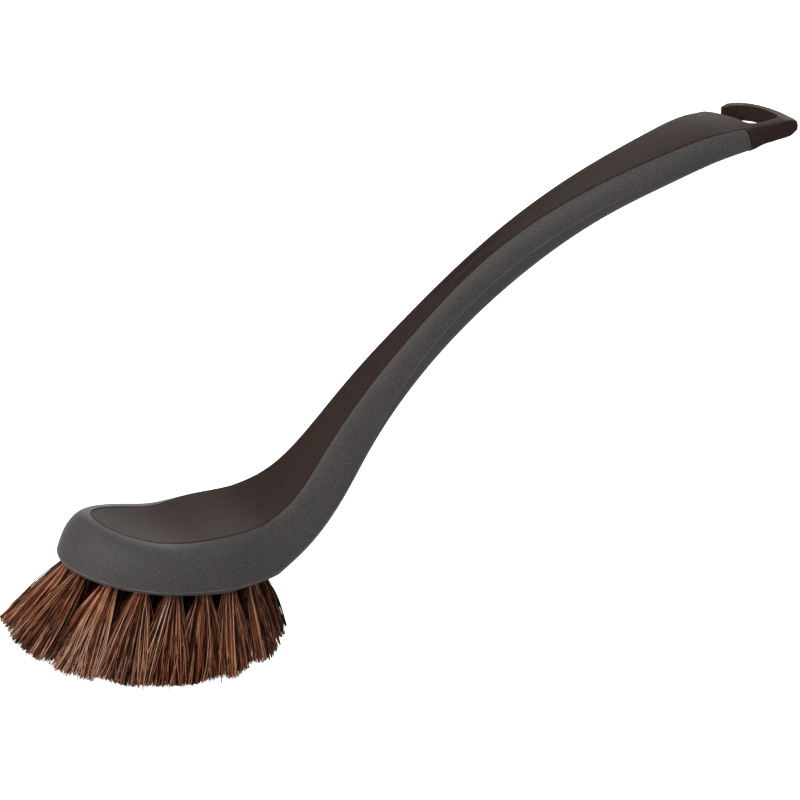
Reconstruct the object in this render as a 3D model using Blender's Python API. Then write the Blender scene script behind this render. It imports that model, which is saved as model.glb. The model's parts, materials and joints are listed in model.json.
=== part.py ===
"""A dish brush: a hard core with a panel, a head block and an open hanging hook, a soft grip moulded
round it, and tufts of bristle, each held in its own hole by a small flat anchor.

Metres, Z up. The bristles point down, the nose is at -X and the hook at +X. Y is across the brush."""

import math

import bmesh
import bpy
import numpy as np
from mathutils import Matrix, Vector

# Walls and clearances
GRIP_THICKNESS = 0.0012
SEAT_GAP = 0.0003
CUT_OVERRUN = 0.0050

# The head, measured from its widest station. Half widths run from the middle to one side.
HEAD_PANEL_HALF_WIDTH = 0.0166
HEAD_NOSE_REACH = 0.0301
HEAD_DEPTH = 0.0120
HEAD_BELLY = 0.0038
PANEL_NOSE_REACH = 0.0221
PANEL_NOSE_RISE = 0.0024
LIP_WIDTH = 0.0020
SOLE_RECESS = 0.0005

# The handle's middle and its end
MIDDLE_PANEL_HALF_WIDTH = 0.0044
MIDDLE_PARTING_DEPTH = 0.0065
MIDDLE_BELLY = 0.0086
END_PANEL_HALF_WIDTH = 0.0107
END_PARTING_DEPTH = 0.0055
END_BELLY = 0.0050

# The centre line runs along the panel from the head's widest station to where the hook starts
HANDLE_REACH = 0.1653
HANDLE_RISE = 0.1464
HOOK_SLOPE = math.radians(15.0)
BELLY_END_SLOPE = -0.24

# The shoulder between the panel and the side, and the panel's own surface
SHOULDER_WIDTH = 0.0034
HEAD_SHOULDER_TILT = math.radians(-8.0)
HANDLE_SHOULDER_TILT = math.radians(28.0)
PANEL_RECESS = 0.0004
PANEL_DISH = 0.0010

# Where the head's opening starts to close and where it ends, along the centre line
OPENING_TURN = 0.0120
OPENING_END = 0.0315
OPENING_BLUNTNESS = 2.6
HEEL_LENGTH = 0.0040
HEEL_LIFT = 0.0024

# The grip's end, which leans across the handle, and the bare hook past it
GRIP_PAST_HANDLE = 0.0052
END_SLANT = 0.20
SLANT_RUN = 0.0200
HOOK_LENGTH = 0.0219
HOOK_THICKNESS = 0.0059
HOOK_EDGE_ROUND = 0.0009
HOOK_FLATNESS = 0.35
HOOK_FAR_LIFT = 0.0008

# The bristle field: its distance from the lip, its shape, and how many tufts stand in each row
FIELD_SIDE_EDGE = 0.0042
FIELD_NOSE_EDGE = 0.0050
FIELD_HEEL_EDGE = 0.0038
FIELD_BLUNTNESS = 2.2
INNER_RING_SHARE = 0.505
MIDDLE_SPACING_SHARE = 0.455
OUTER_RING_TUFTS = 16
INNER_RING_TUFTS = 10
MIDDLE_TUFTS = 3

# Tufts, the holes that hold them and the anchors across them
HOLE_RADIUS = 0.0025
HOLE_ROOF = 0.0046
TUFT_FREE_LENGTH = 0.0312
TIP_FILL_SHARE = 0.47
HEEL_TRIM = 0.230
SPLAY_FORWARD = 0.0040
LENGTH_SPLAY = 0.530
WIDTH_SPLAY = 0.420
ANCHOR_BITE = 0.0006
ANCHOR_HEIGHT = 0.0018
ANCHOR_THICKNESS = 0.0004
ANCHOR_BASE = 0.0012

# Numbers of points
NOSE_STEPS = 12
TURN_STEPS = 4
CLOSE_STEPS = 6
HANDLE_STEPS = 32
HOOK_STEPS = 14
PANEL_STEPS = 3
SHOULDER_STEPS = 5
LOWER_STEPS = 4
EYE_STEPS = 3
TUFT_SIDES = 10
HOLE_SIDES = 12

# Knots along the centre line. Each row has the share of the handle's reach and rise, of the panel's half
# width, the shoulder's width, the depth of the parting line, and the belly's depth below that.
HEAD_STATION_SHARES = (
    (0.000, 0.000, 0.860, 3.088, 1.000, 0.395),
    (0.094, 0.023, 1.000, 1.735, 1.267, 0.484),
    (0.185, 0.055, 0.904, 1.118, 1.300, 1.010),
    (0.239, 0.101, 0.735, 1.000, 1.117, 1.116),
)
MIDDLE_STATION_SHARES = (
    (0.289, 0.191, 2.000, 0.853, 1.938, 0.350),
    (0.352, 0.327, 1.500, 0.853, 1.477, 0.635),
    (0.452, 0.501, 1.114, 0.824, 1.046, 0.905),
    (0.587, 0.690, 1.000, 1.029, 1.000, 1.000),
)
END_STATION_SHARES = (
    (0.765, 0.855, 0.655, 1.059, 1.127, 1.460),
    (0.917, 0.958, 0.895, 1.059, 1.073, 1.320),
    (1.000, 1.000, 1.000, 1.000, 1.000, 1.000),
)

# The panel's dish at the same knots, as a share of the dish at the head
DISH_SHARES = (1.0, 1.0, 0.9, 0.7, 0.5, 0.4, 0.35, 0.35, 0.1, -0.3, -0.5)

# The bare hook past the grip: shares of its length, of its half width on the near and the far side,
# and of its thickness
HOOK_SHARES = (
    (0.300, -0.885, 1.010, 1.120),
    (0.482, -0.840, 1.020, 1.030),
    (0.620, -0.815, 1.000, 1.000),
    (0.727, -0.800, 0.905, 0.980),
    (0.835, -0.755, 0.610, 0.900),
    (0.917, -0.690, 0.210, 0.780),
    (0.969, -0.615, -0.110, 0.650),
    (1.000, -0.510, -0.300, 0.520),
)

# The hook's eye and mouth, all the way round: shares of the bare hook's length from the grip's end, and
# of its half width
EYE_SHARES = (
    (0.805, -0.360),
    (0.797, -0.070),
    (0.760, 0.190),
    (0.695, 0.410),
    (0.610, 0.590),
    (0.508, 0.700),
    (0.410, 0.750),
    (0.339, 0.800),
    (0.308, 0.870),
    (0.306, 0.945),
    (0.323, 1.005),
    (0.364, 1.050),
    (0.440, 1.110),
    (0.480, 1.250),
    (0.480, 1.400),
    (-0.180, 1.400),
    (-0.190, 1.150),
    (-0.140, 0.930),
    (-0.060, 0.770),
    (0.015, 0.610),
    (0.072, 0.420),
    (0.119, 0.210),
    (0.172, -0.010),
    (0.214, -0.270),
    (0.274, -0.470),
    (0.404, -0.540),
    (0.543, -0.520),
    (0.700, -0.470),
)

# Colours and surface values
CORE_COLOUR = (0.030, 0.023, 0.021)
CORE_ROUGHNESS = 0.55
GRIP_COLOUR = (0.075, 0.074, 0.078)
GRIP_ROUGHNESS = 0.70
BRISTLE_COLOUR = (0.110, 0.055, 0.032)
BRISTLE_ROUGHNESS = 0.60
ANCHOR_COLOUR = (0.560, 0.550, 0.530)
ANCHOR_ROUGHNESS = 0.35


def clear_scene():
    for obj in list(bpy.data.objects):
        bpy.data.objects.remove(obj, do_unlink=True)


def principled(name, colour, roughness, metallic=0.0):
    material = bpy.data.materials.new(name)
    material.use_nodes = True
    shader = material.node_tree.nodes["Principled BSDF"]
    shader.inputs["Base Color"].default_value = (*colour, 1.0)
    shader.inputs["Roughness"].default_value = roughness
    shader.inputs["Metallic"].default_value = metallic
    material.diffuse_color = (*colour, 1.0)
    return material


def smooth_curve(knots, values, start_slope=0.0, end_slope=0.0):
    """A cubic spline through the values at the knots, with the given slopes at its ends."""
    knots = np.asarray(knots, float)
    values = np.asarray(values, float)
    count = len(knots)
    steps = np.diff(knots)
    rises = np.diff(values) / steps
    system = np.zeros((count, count))
    right = np.zeros(count)
    system[0, :2] = 2 * steps[0], steps[0]
    right[0] = 6 * (rises[0] - start_slope)
    system[-1, -2:] = steps[-1], 2 * steps[-1]
    right[-1] = 6 * (end_slope - rises[-1])
    for i in range(1, count - 1):
        system[i, i - 1 : i + 2] = steps[i - 1], 2 * (steps[i - 1] + steps[i]), steps[i]
        right[i] = 6 * (rises[i] - rises[i - 1])
    bends = np.linalg.solve(system, right)

    def at(place):
        i = int(np.clip(np.searchsorted(knots, place) - 1, 0, count - 2))
        before = place - knots[i]
        after = knots[i + 1] - place
        step = steps[i]
        return (
            (bends[i] * after**3 + bends[i + 1] * before**3) / (6 * step)
            + (values[i] / step - bends[i] * step / 6) * after
            + (values[i + 1] / step - bends[i + 1] * step / 6) * before
        )

    return at


def ease(share):
    share = min(max(share, 0.0), 1.0)
    return share * share * (3 - 2 * share)


# The lip is the grip's wall turned in under the head, so it lies a wall and a gap below the block
LIP_HEIGHT = GRIP_THICKNESS + SEAT_GAP


def make_body_curves():
    """Every size of the body as a function of the length along its centre line."""
    groups = (
        (HEAD_STATION_SHARES, HEAD_PANEL_HALF_WIDTH, HEAD_DEPTH, HEAD_BELLY),
        (MIDDLE_STATION_SHARES, MIDDLE_PANEL_HALF_WIDTH, MIDDLE_PARTING_DEPTH, MIDDLE_BELLY),
        (END_STATION_SHARES, END_PANEL_HALF_WIDTH, END_PARTING_DEPTH, END_BELLY),
    )
    rows = []
    for shares, panel, parting, belly in groups:
        for row in shares:
            sizes = (HANDLE_REACH, HANDLE_RISE, panel, SHOULDER_WIDTH, parting, belly)
            rows.append([share * size for share, size in zip(row, sizes)])
    table = np.array(rows)
    knots = np.concatenate(([0.0], np.cumsum(np.hypot(np.diff(table[:, 0]), np.diff(table[:, 1])))))
    belly = table[:, 4] + table[:, 5]
    return {
        "length": knots[-1],
        "forward": smooth_curve(knots, table[:, 0], 1.0, math.cos(HOOK_SLOPE)),
        "rise": smooth_curve(knots, table[:, 1], 0.0, math.sin(HOOK_SLOPE)),
        "panel": smooth_curve(knots, table[:, 2]),
        "side": smooth_curve(knots, table[:, 2] + table[:, 3]),
        "parting": smooth_curve(knots, table[:, 4]),
        "belly": smooth_curve(knots, belly, 0.0, BELLY_END_SLOPE),
        "dish": smooth_curve(knots, np.array(DISH_SHARES) * PANEL_DISH),
    }


CURVES = make_body_curves()
HANDLE_LENGTH = CURVES["length"]
GRIP_END = HANDLE_LENGTH + GRIP_PAST_HANDLE
HOOK_HALF_WIDTH = CURVES["side"](GRIP_END)


def make_hook_curves():
    """The hook's sizes past the grip, starting from the grip's own outline."""
    table = np.array(HOOK_SHARES)
    along = np.append(0.0, table[:, 0]) * HOOK_LENGTH
    thick = np.append(CURVES["belly"](GRIP_END), table[:, 3] * HOOK_THICKNESS)
    return {
        "near": smooth_curve(along, np.append(-1.0, table[:, 1]) * HOOK_HALF_WIDTH),
        "far": smooth_curve(along, np.append(1.0, table[:, 2]) * HOOK_HALF_WIDTH),
        "thick": smooth_curve(along, thick, BELLY_END_SLOPE),
    }


HOOK = make_hook_curves()


def centre_frame(length):
    """Origin, forward direction and up direction of the centre line at this length."""
    if length >= HANDLE_LENGTH:
        direction = Vector((math.cos(HOOK_SLOPE), 0.0, math.sin(HOOK_SLOPE)))
        start = Vector((HANDLE_REACH, 0.0, HEAD_DEPTH + HANDLE_RISE))
        origin = start + direction * (length - HANDLE_LENGTH)
    else:
        nudge = HANDLE_LENGTH * 1e-4
        ends = []
        for place in (max(length - nudge, 0.0), min(length + nudge, HANDLE_LENGTH)):
            ends.append(Vector((CURVES["forward"](place), 0.0, CURVES["rise"](place))))
        direction = (ends[1] - ends[0]).normalized()
        origin = Vector((CURVES["forward"](length), 0.0, HEAD_DEPTH + CURVES["rise"](length)))
    up = Vector((-direction.z, 0.0, direction.x))
    return origin, direction, up


def recess_at(length):
    """The panel lies a little below the grip's edge, and comes level with it at the hook."""
    return PANEL_RECESS * (1 - ease((length - HANDLE_LENGTH + SLANT_RUN) / SLANT_RUN))


def slant_at(length):
    """How far a section leans: its near side lies ahead of its far side towards the hook."""
    return END_SLANT * ease((length - HANDLE_LENGTH + SLANT_RUN) / SLANT_RUN)


def lip_depth(length):
    """Depth of the lip below the centre line. The lip is level and lifts a little towards the heel."""
    origin, direction, up = centre_frame(length)
    lift = HEEL_LIFT * ease((length - OPENING_TURN) / (OPENING_END - OPENING_TURN))
    return (origin.z + LIP_HEIGHT - lift) / up.z


def belly_depth(length):
    if length <= OPENING_END:
        return lip_depth(length)
    heel = lip_depth(OPENING_END) - CURVES["belly"](OPENING_END)
    return CURVES["belly"](length) + heel * math.exp(-(length - OPENING_END) / HEEL_LENGTH)


def opening_half_width(length):
    if length >= OPENING_END:
        return 0.0
    width = CURVES["side"](length) - LIP_WIDTH
    if length <= OPENING_TURN:
        return width
    share = (length - OPENING_TURN) / (OPENING_END - OPENING_TURN)
    return width * (1 - share**OPENING_BLUNTNESS) ** (1 / OPENING_BLUNTNESS)


def shoulder_tilt(length):
    """The shoulder's slope where it leaves the panel: it rises a little on the head, and falls on the
    handle."""
    steep = ease(length / (HANDLE_LENGTH * 0.3))
    steep -= 0.6 * ease((length - HANDLE_LENGTH * 0.7) / (HANDLE_LENGTH * 0.3))
    return HEAD_SHOULDER_TILT + (HANDLE_SHOULDER_TILT - HEAD_SHOULDER_TILT) * steep


def shoulder_points(panel, side, depth, tilt, count):
    """Points (across, down) from the panel's edge to the parting line, where the side is upright."""
    reach = side - panel
    points = []
    for step in range(count + 1):
        t = step / count
        back = 1 - t
        across = back**3 * panel + 3 * t * back**2 * (panel + 0.55 * reach * math.cos(tilt))
        across += 3 * t * t * back * side + t**3 * side
        down = 3 * t * back**2 * 0.55 * reach * math.sin(tilt)
        down += 3 * t * t * back * 0.45 * depth + t**3 * depth
        points.append((across, down))
    return points


def lower_points(side, inner, depth, bottom, count, power=1.0):
    """Points (across, down) from just under the parting line to the underside. A power of 1 gives a
    round underside and smaller powers a flatter one."""
    points = []
    for step in range(1, count + 1):
        angle = math.radians(90.0) * step / count
        across = inner + (side - inner) * max(math.cos(angle), 0.0) ** power
        if step == count:
            across = inner
        points.append((across, depth + (bottom - depth) * math.sin(angle) ** power))
    return points


def station_point(length, across, down, middle=0.0):
    origin, direction, up = centre_frame(length)
    y = middle + across
    return origin - up * down + Vector((0.0, y, 0.0)) - direction * (y * slant_at(length))


def nose_point(angle, panel_inset, rim_inset, share, height):
    """A point of the nose: share 0 on the panel's edge and 1 on the rim, at this height."""
    cosine = math.cos(angle)
    sine = math.sin(angle)
    panel_x = (PANEL_NOSE_REACH - panel_inset) * cosine
    panel_y = (CURVES["panel"](0.0) - panel_inset) * sine
    rim_x = (HEAD_NOSE_REACH - rim_inset) * cosine
    rim_y = (CURVES["side"](0.0) - rim_inset) * sine
    x = panel_x + (rim_x - panel_x) * share
    y = panel_y + (rim_y - panel_y) * share
    return Vector((-x, y, height))


def nose_top(angle):
    return HEAD_DEPTH + PANEL_NOSE_RISE * math.cos(angle) ** 2


def nose_column(angle, panel_inset, rim_inset, drop):
    """One column of the nose from the panel's edge over the shoulder, the rim and the lip."""
    top = nose_top(angle)
    column = []
    for across, down in shoulder_points(0.0, 1.0, 1.0, shoulder_tilt(0.0), SHOULDER_STEPS):
        column.append(nose_point(angle, panel_inset, rim_inset, across, top - drop - (top - drop) * down))
    lip_inset = LIP_WIDTH + panel_inset
    for across, down in lower_points(1.0, 0.0, 0.0, 1.0, LOWER_STEPS):
        inset = rim_inset + (lip_inset - rim_inset) * (1 - across)
        height = (drop - LIP_HEIGHT) * down
        column.append(nose_point(angle, 0.0, inset, 1.0, height))
    return column


def station_column(length, side_sign, panel_inset, rim_inset, drop):
    """One half section from the panel's edge over the shoulder, the parting line and the underside."""
    panel = CURVES["panel"](length) - panel_inset
    side = CURVES["side"](length) - rim_inset
    depth = CURVES["parting"](length) - drop
    column = []
    for across, down in shoulder_points(panel, side, depth, shoulder_tilt(length), SHOULDER_STEPS):
        column.append(station_point(length, side_sign * across, drop + down))
    inner = max(opening_half_width(length) - panel_inset, 0.0)
    bottom = belly_depth(length) - drop
    for across, down in lower_points(side, inner, depth + drop, bottom, LOWER_STEPS):
        column.append(station_point(length, side_sign * across, down))
    return column


def head_lengths():
    lengths = [OPENING_TURN * step / TURN_STEPS for step in range(1, TURN_STEPS + 1)]
    for step in range(1, CLOSE_STEPS + 1):
        share = math.sin(math.radians(90.0) * step / CLOSE_STEPS)
        lengths.append(OPENING_TURN + (OPENING_END - OPENING_TURN) * share)
    return lengths


def handle_lengths(end):
    return [OPENING_END + (end - OPENING_END) * step / HANDLE_STEPS for step in range(1, HANDLE_STEPS + 1)]


def half_grid(side_sign, end, panel_inset, rim_inset, drop):
    """Columns of one half of the body, from the nose to this length, with a mark where it is open below."""
    columns = []
    for step in range(NOSE_STEPS + 1):
        angle = math.radians(90.0) * step / NOSE_STEPS
        column = nose_column(angle, panel_inset, rim_inset, drop)
        columns.append([Vector((p.x, side_sign * p.y, p.z)) for p in column])
    for length in head_lengths() + handle_lengths(end):
        columns.append(station_column(length, side_sign, panel_inset, rim_inset, drop))
    return columns


OPEN_COLUMNS = NOSE_STEPS + 1 + TURN_STEPS + CLOSE_STEPS


class Skin:
    """Faces gathered as loops of points, with equal points made one."""

    def __init__(self):
        self.index = {}
        self.points = []
        self.faces = []

    def vertex(self, point):
        key = tuple(round(value * 1e7) for value in point)
        if key not in self.index:
            self.index[key] = len(self.points)
            self.points.append(tuple(point))
        return self.index[key]

    def face(self, loop):
        corners = []
        for point in loop:
            corner = self.vertex(point)
            if corner not in corners:
                corners.append(corner)
        if len(corners) > 2:
            self.faces.append(corners)

    def strip(self, first, second):
        for i in range(len(first) - 1):
            self.face((first[i], first[i + 1], second[i + 1], second[i]))

    def build(self, name, material):
        mesh = bpy.data.meshes.new(name)
        mesh.from_pydata(self.points, [], self.faces)
        work = bmesh.new()
        work.from_mesh(mesh)
        bmesh.ops.recalc_face_normals(work, faces=work.faces)
        work.to_mesh(mesh)
        work.free()
        return place_mesh(name, mesh, material)


def place_mesh(name, mesh, material):
    mesh.materials.append(material)
    mesh.shade_smooth()
    mesh.set_sharp_from_angle(angle=math.radians(40.0))
    obj = bpy.data.objects.new(name, mesh)
    bpy.context.scene.collection.objects.link(obj)
    return obj


def subtract(target, cutter, name):
    cutter.hide_render = True
    cutter.display_type = "WIRE"
    modifier = target.modifiers.new(name, "BOOLEAN")
    modifier.operation = "DIFFERENCE"
    modifier.solver = "EXACT"
    modifier.object = cutter
    return modifier


def hook_blend(past):
    """How far the section has turned from the handle's shape into the hook's, 0 to 1."""
    return ease(past / (HOOK_LENGTH * 0.45))


def hook_half(past):
    """Panel edge, widest place, depths and middle of the bare hook's section."""
    near = HOOK["near"](past)
    far = HOOK["far"](past)
    middle = (near + far) / 2
    half = (far - near) / 2
    blend = hook_blend(past)
    first_edge = CURVES["side"](GRIP_END) - CURVES["panel"](GRIP_END)
    edge = min(first_edge + (HOOK_EDGE_ROUND - first_edge) * blend, half * 0.6)
    bottom = HOOK["thick"](past)
    first_depth = CURVES["parting"](GRIP_END)
    side_depth = first_depth + (bottom * 0.5 - first_depth) * blend
    return half - edge, half, side_depth, bottom, middle


def outer_column(past, side_sign):
    """The bare core's half section past the grip: panel edge, side and underside at full size."""
    length = GRIP_END + past
    panel, side, depth, bottom, middle = hook_half(past)
    column = []
    shoulder = shoulder_points(panel, side, depth, shoulder_tilt(HANDLE_LENGTH), SHOULDER_STEPS + 1)
    for across, down in shoulder[1:]:
        column.append(station_point(length, side_sign * across, down, middle))
    power = 1 - (1 - HOOK_FLATNESS) * hook_blend(past)
    lift = side_sign * HOOK_FAR_LIFT * hook_blend(past)
    for across, down in lower_points(side, 0.0, depth, bottom, LOWER_STEPS, power):
        down -= lift * across / side * (down - depth) / (bottom - depth)
        column.append(station_point(length, side_sign * across, down, middle))
    return column


def panel_row(length, side_sign, half, dish, middle=0.0):
    row = []
    for step in range(PANEL_STEPS + 1):
        share = step / PANEL_STEPS
        down = recess_at(length) + dish * (1 - share * share)
        row.append(station_point(length, side_sign * half * share, down, middle))
    return row


def nose_panel_row(angle, side_sign):
    row = []
    for step in range(PANEL_STEPS + 1):
        share = step / PANEL_STEPS
        edge = nose_point(angle, SEAT_GAP, 0.0, 0.0, nose_top(angle))
        sunk = PANEL_RECESS + CURVES["dish"](0.0) * (1 - share * share) * math.sin(angle) ** 2
        row.append(Vector((edge.x, side_sign * edge.y * share, edge.z - sunk)))
    return row


def sole_point(point):
    """The point of the core's sole under a point of the lip's inner edge."""
    return Vector((point.x, point.y, SOLE_RECESS - LIP_HEIGHT))


def core_columns(side_sign):
    """Half sections of the core. At the grip's end it steps out to full size, under the same panel row."""
    inset = GRIP_THICKNESS + SEAT_GAP
    columns = []
    under = half_grid(side_sign, GRIP_END + SEAT_GAP, SEAT_GAP, inset, inset)
    lengths = head_lengths() + handle_lengths(GRIP_END + SEAT_GAP)
    for i, column in enumerate(under):
        if i <= NOSE_STEPS:
            row = nose_panel_row(math.radians(90.0) * i / NOSE_STEPS, side_sign)
        else:
            length = lengths[i - NOSE_STEPS - 1]
            half = CURVES["panel"](length) - SEAT_GAP
            row = panel_row(length, side_sign, half, CURVES["dish"](length))
        last = sole_point(column[-1]) if i < OPEN_COLUMNS else column[-1]
        columns.append(row + column + [last])
    last_panel_row = row
    for step in range(HOOK_STEPS + 1):
        share = math.sin(math.radians(90.0) * step / HOOK_STEPS)
        past = SEAT_GAP + (HOOK_LENGTH - SEAT_GAP) * share
        panel, side, depth, bottom, middle = hook_half(past)
        dish = CURVES["dish"](HANDLE_LENGTH) * (1 - hook_blend(past))
        row = panel_row(GRIP_END + past, side_sign, panel, dish, middle) if step else last_panel_row
        column = outer_column(past, side_sign)
        columns.append(row + column + [column[-1]])
    return columns


def make_core(material):
    skin = Skin()
    soles = []
    ends = []
    for side_sign in (1, -1):
        columns = core_columns(side_sign)
        for first, second in zip(columns, columns[1:]):
            skin.strip(first, second)
        soles.append([column[-1] for column in columns[:OPEN_COLUMNS]])
        ends.append(columns[-1])
    skin.face(soles[0] + soles[1][::-1])
    skin.face(ends[0] + ends[1][::-1])
    return skin.build("core", material)


def make_grip(material):
    skin = Skin()
    for side_sign in (1, -1):
        outer = half_grid(side_sign, GRIP_END, 0.0, 0.0, 0.0)
        inner = half_grid(side_sign, GRIP_END, 0.0, GRIP_THICKNESS, GRIP_THICKNESS)
        for i in range(len(outer) - 1):
            skin.strip(outer[i], outer[i + 1])
            skin.strip(inner[i], inner[i + 1])
            skin.face((outer[i][0], outer[i + 1][0], inner[i + 1][0], inner[i][0]))
            if i < OPEN_COLUMNS - 1:
                skin.face((outer[i][-1], outer[i + 1][-1], inner[i + 1][-1], inner[i][-1]))
        skin.strip(outer[-1], inner[-1])
    return skin.build("grip", material)


def round_loop(points, steps):
    """A closed curve through the points, with this many steps from each point to the next."""
    count = len(points)
    curve = []
    for i in range(count):
        before, first, second, after = (np.array(points[(i + j - 1) % count]) for j in range(4))
        for step in range(steps):
            t = step / steps
            even = 2 * first + (second - before) * t
            bend = (2 * before - 5 * first + 4 * second - after) * t * t
            turn = (3 * first - before - 3 * second + after) * t**3
            curve.append((even + bend + turn) / 2)
    return curve


def make_eye_cutter():
    """The hook's eye and its mouth, cut straight through the hook across its thickness."""
    start, direction, up = centre_frame(HANDLE_LENGTH)
    skin = Skin()
    rings = []
    for height in (CUT_OVERRUN, -HOOK_THICKNESS * 2 - CUT_OVERRUN):
        ring = []
        for along, across in round_loop(EYE_SHARES, EYE_STEPS):
            point = start + direction * (GRIP_PAST_HANDLE + along * HOOK_LENGTH) + up * height
            ring.append(point + Vector((0.0, across * HOOK_HALF_WIDTH, 0.0)))
        rings.append(ring)
    skin.strip(rings[0] + rings[0][:1], rings[1] + rings[1][:1])
    skin.face(rings[0])
    skin.face(rings[1])
    return skin.build("eye_cutter", bpy.data.materials.new("cutter"))


def oval_point(half_length, half_width, angle):
    """A point of an oval that is an ellipse towards the nose and blunter towards the heel."""
    cosine = math.cos(angle)
    sine = math.sin(angle)
    power = 2 / FIELD_BLUNTNESS if cosine > 0 else 1.0
    x = math.copysign(abs(cosine) ** power, cosine)
    y = math.copysign(abs(sine) ** power, sine)
    return half_length * x, half_width * y


def oval_places(half_length, half_width, count, turn):
    """Places spaced evenly along the oval."""
    fine = 720
    angles = [2 * math.pi * i / fine for i in range(fine + 1)]
    points = [oval_point(half_length, half_width, angle) for angle in angles]
    run = [0.0]
    for first, second in zip(points, points[1:]):
        run.append(run[-1] + math.dist(first, second))
    places = []
    for i in range(count):
        target = run[-1] * ((i + turn) / count)
        places.append(oval_point(half_length, half_width, float(np.interp(target, run, angles))))
    return places


def tuft_field():
    """Middle and half sizes of the bristle field, from the head's own lip."""
    nose = FIELD_NOSE_EDGE + LIP_WIDTH - HEAD_NOSE_REACH
    heel = station_point(OPENING_END, 0.0, lip_depth(OPENING_END)).x - FIELD_HEEL_EDGE
    half_width = CURVES["side"](0.0) - LIP_WIDTH - FIELD_SIDE_EDGE
    return (nose + heel) / 2, (heel - nose) / 2, half_width


FIELD_FORWARD, FIELD_HALF_LENGTH, FIELD_HALF_WIDTH = tuft_field()


def tuft_places():
    """Roots of all tufts, measured from the middle of the field."""
    places = oval_places(FIELD_HALF_LENGTH, FIELD_HALF_WIDTH, OUTER_RING_TUFTS, 0.5)
    inner_length = FIELD_HALF_LENGTH - FIELD_HALF_WIDTH * INNER_RING_SHARE
    inner_width = FIELD_HALF_WIDTH * (1 - INNER_RING_SHARE)
    places += oval_places(inner_length, inner_width, INNER_RING_TUFTS, 0.0)
    for i in range(MIDDLE_TUFTS):
        places.append(((i - (MIDDLE_TUFTS - 1) / 2) * inner_length * MIDDLE_SPACING_SHARE, 0.0))
    return places


def tuft_matrix(place):
    """The frame of a tuft: its origin on the sole, its Z along the bristles, its X along the anchor."""
    x, y = place
    lean_x = (x - SPLAY_FORWARD) / FIELD_HALF_LENGTH * LENGTH_SPLAY
    lean = Vector((lean_x, y / FIELD_HALF_WIDTH * WIDTH_SPLAY, -1.0))
    axis = lean.normalized()
    outward = Vector((axis.x, axis.y, 0.0))
    tangent = Vector((0.0, 1.0, 0.0))
    if outward.length > 1e-6:
        tangent = Vector((-outward.y, outward.x, 0.0)).normalized()
    third = axis.cross(tangent)
    turn = Matrix((tangent, third, axis)).transposed().to_4x4()
    root = Vector((FIELD_FORWARD + x, y, SOLE_RECESS - LIP_HEIGHT))
    return Matrix.Translation(root) @ turn


def free_length(place):
    """The bristles are trimmed shorter towards the heel."""
    return TUFT_FREE_LENGTH * (1 - HEEL_TRIM * max(place[0], 0.0) / FIELD_HALF_LENGTH)


def tip_radius(places):
    """Tufts open out until their tips nearly touch."""
    tips = [tuft_matrix(place) @ Vector((0.0, 0.0, free_length(place))) for place in places]
    closest = min((first - second).length for i, first in enumerate(tips) for second in tips[:i])
    return closest * TIP_FILL_SHARE


def cone_rings(sides, levels):
    """A closed turned solid from (height, radius) pairs, the first one lowest."""
    skin = Skin()
    rings = []
    for height, radius in levels:
        ring = []
        for i in range(sides):
            angle = 2 * math.pi * (i + 0.5) / sides
            ring.append(Vector((radius * math.cos(angle), radius * math.sin(angle), height)))
        rings.append(ring)
    for first, second in zip(rings, rings[1:]):
        skin.strip(first + first[:1], second + second[:1])
    skin.face(rings[0])
    skin.face(rings[-1])
    return skin


def box_skin(size, centre):
    skin = Skin()
    half = Vector(size) / 2
    corners = []
    for z in (-1, 1):
        corners.append([Vector((centre[0] + x * half.x, centre[1] + y * half.y, centre[2] + z * half.z))
                        for x, y in ((-1, -1), (1, -1), (1, 1), (-1, 1))])
    skin.strip(corners[0] + corners[0][:1], corners[1] + corners[1][:1])
    skin.face(corners[0])
    skin.face(corners[1])
    return skin


def join_copies(name, skin, matrices, material):
    """One object holding a copy of a shape at each place."""
    whole = Skin()
    for matrix in matrices:
        placed = [matrix @ Vector(point) for point in skin.points]
        for face in skin.faces:
            whole.face([placed[i] for i in face])
    return whole.build(name, material)


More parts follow.
